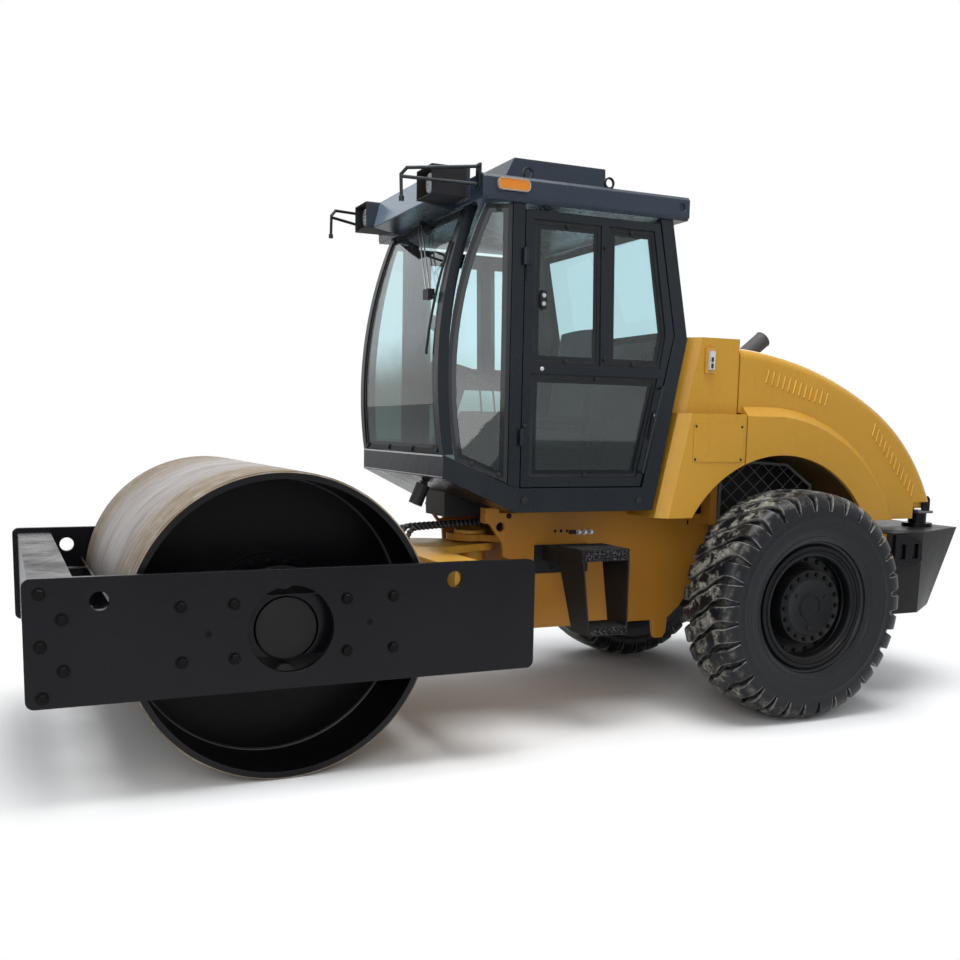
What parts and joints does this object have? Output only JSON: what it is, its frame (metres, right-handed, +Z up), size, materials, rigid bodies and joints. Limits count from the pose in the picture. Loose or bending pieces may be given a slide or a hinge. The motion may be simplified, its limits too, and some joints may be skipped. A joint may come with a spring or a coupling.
{
  "type": "single-drum road roller",
  "caption": "Articulated road roller with a smooth steel drum in a black plate frame, glazed cab, curved rear hood, lugged rear tyres and counterweight",
  "frame": {"origin": "on the ground, in the middle of the machine's length and width", "axes": "+X forward towards the drum, +Y to the machine's left, +Z up"},
  "size_m": [6.05, 2.4, 3.2449],
  "materials": {
    "yellow_paint": "satin enamel",
    "black_paint": "gloss enamel",
    "cab_paint": "satin enamel",
    "grey_paint": "satin enamel",
    "drum_steel": "worn rolling face",
    "cast": "painted casting",
    "chrome": "polished rod",
    "rubber": "matt",
    "tyre": "matt, dusty treads",
    "glass": "tinted safety glass",
    "plastic": "matt",
    "amber": "lamp lens",
    "lens": "clear lens",
    "fabric": "woven cover"
  },
  "bodies": {
    "rear_frame": {"access_panels": "yellow_paint", "articulation_pin": "yellow_paint", "cab_base": "cab_paint", "cab_glass": "glass", "cab_mounts": "plastic", "cab_posts": "cab_paint", "chassis_plates": "yellow_paint", "chassis_rails": "yellow_paint", "counterweight": "grey_paint", "cowl_lower": "yellow_paint", "cowl_upper": "yellow_paint", "engine_block": "cast", "engine_screens": "grey_paint", "hood_hinge_posts": "black_paint", "hoses_rear": "rubber", "lifting_eyes": "black_paint", "marker_lamps": "lens", "mirror_arms": "black_paint", "rear_axle": "cast", "roof": "cab_paint", "seat": "fabric", "side_lamps": "amber", "steering_column": "plastic", "steps": "black_paint", "tie_down_lugs": "black_paint", "work_lamps": "lens"},
    "front_frame": {"side_plates": "black_paint", "front_crossbeam": "black_paint", "rear_crossbeam": "yellow_paint", "drum_carriers": "black_paint", "drum_rubber_mounts": "rubber", "drum_bearings": "cast", "scrapers": "black_paint", "hoses_front": "rubber"},
    "drum": {"drum_shell": "drum_steel", "drum_heads": "black_paint"},
    "wheel_left": {"tyre_left": "tyre", "rim_left": "black_paint"},
    "wheel_right": {"tyre_right": "tyre", "rim_right": "black_paint"},
    "left_door": {"door_left": "cab_paint", "door_glass_left": "glass"},
    "right_door": {"door_right": "cab_paint", "door_glass_right": "glass"},
    "hood_group": {"hood": "yellow_paint", "exhaust_pipe": "grey_paint"},
    "left_barrel": {"steer_barrel_left": "black_paint"},
    "right_barrel": {"steer_barrel_right": "black_paint"},
    "left_rod": {"steer_rod_left": "chrome"},
    "right_rod": {"steer_rod_right": "chrome"}
  },
  "joints": [
    {"name": "steering", "type": "hinge", "parent": "rear_frame", "child": "front_frame", "pos_m": [0.395, 0, 0.78], "axis": [0, 0, 1], "range_deg": [-33, 33]},
    {"name": "drum_roll", "type": "hinge", "parent": "front_frame", "child": "drum", "pos_m": [1.845, 0, 0.7615], "axis": [0, 1, 0], "continuous": true},
    {"name": "wheel_left_roll", "type": "hinge", "parent": "rear_frame", "child": "wheel_left", "pos_m": [-1.355, 0.975, 0.7], "axis": [0, 1, 0], "continuous": true},
    {"name": "wheel_right_roll", "type": "hinge", "parent": "rear_frame", "child": "wheel_right", "pos_m": [-1.355, -0.975, 0.7], "axis": [0, 1, 0], "continuous": true},
    {"name": "door_left_swing", "type": "hinge", "parent": "rear_frame", "child": "left_door", "pos_m": [0.46, 0.816, 2.1], "axis": [0, 0, -1], "range_deg": [0, 80]},
    {"name": "door_right_swing", "type": "hinge", "parent": "rear_frame", "child": "right_door", "pos_m": [0.46, -0.816, 2.1], "axis": [0, 0, 1], "range_deg": [0, 80]},
    {"name": "hood_tilt", "type": "hinge", "parent": "rear_frame", "child": "hood_group", "pos_m": [-2.805, 0, 1.26], "axis": [0, -1, 0], "range_deg": [0, 55]},
    {"name": "cylinder_left_swing", "type": "hinge", "parent": "rear_frame", "child": "left_barrel", "pos_m": [-0.205, 0.2, 0.8], "axis": [0, 0, 1], "range_deg": [-11.36, 11.36]},
    {"name": "cylinder_left_stroke", "type": "slide", "parent": "left_barrel", "child": "left_rod", "axis": [0.9885, 0.1512, 0], "range_m": [-0.166, 0.166]},
    {"name": "cylinder_right_swing", "type": "hinge", "parent": "rear_frame", "child": "right_barrel", "pos_m": [-0.205, -0.2, 0.8], "axis": [0, 0, 1], "range_deg": [-11.36, 11.36]},
    {"name": "cylinder_right_stroke", "type": "slide", "parent": "right_barrel", "child": "right_rod", "axis": [0.9885, -0.1512, 0], "range_m": [-0.166, 0.166]}
  ],
  "couplings": [
    {"joint": "cylinder_left_swing", "follows": "steering", "ratio": 0.335},
    {"joint": "cylinder_left_stroke", "follows": "steering", "m_per_rad": -0.2832},
    {"joint": "cylinder_right_swing", "follows": "steering", "ratio": 0.335},
    {"joint": "cylinder_right_stroke", "follows": "steering", "m_per_rad": 0.2832}
  ]
}
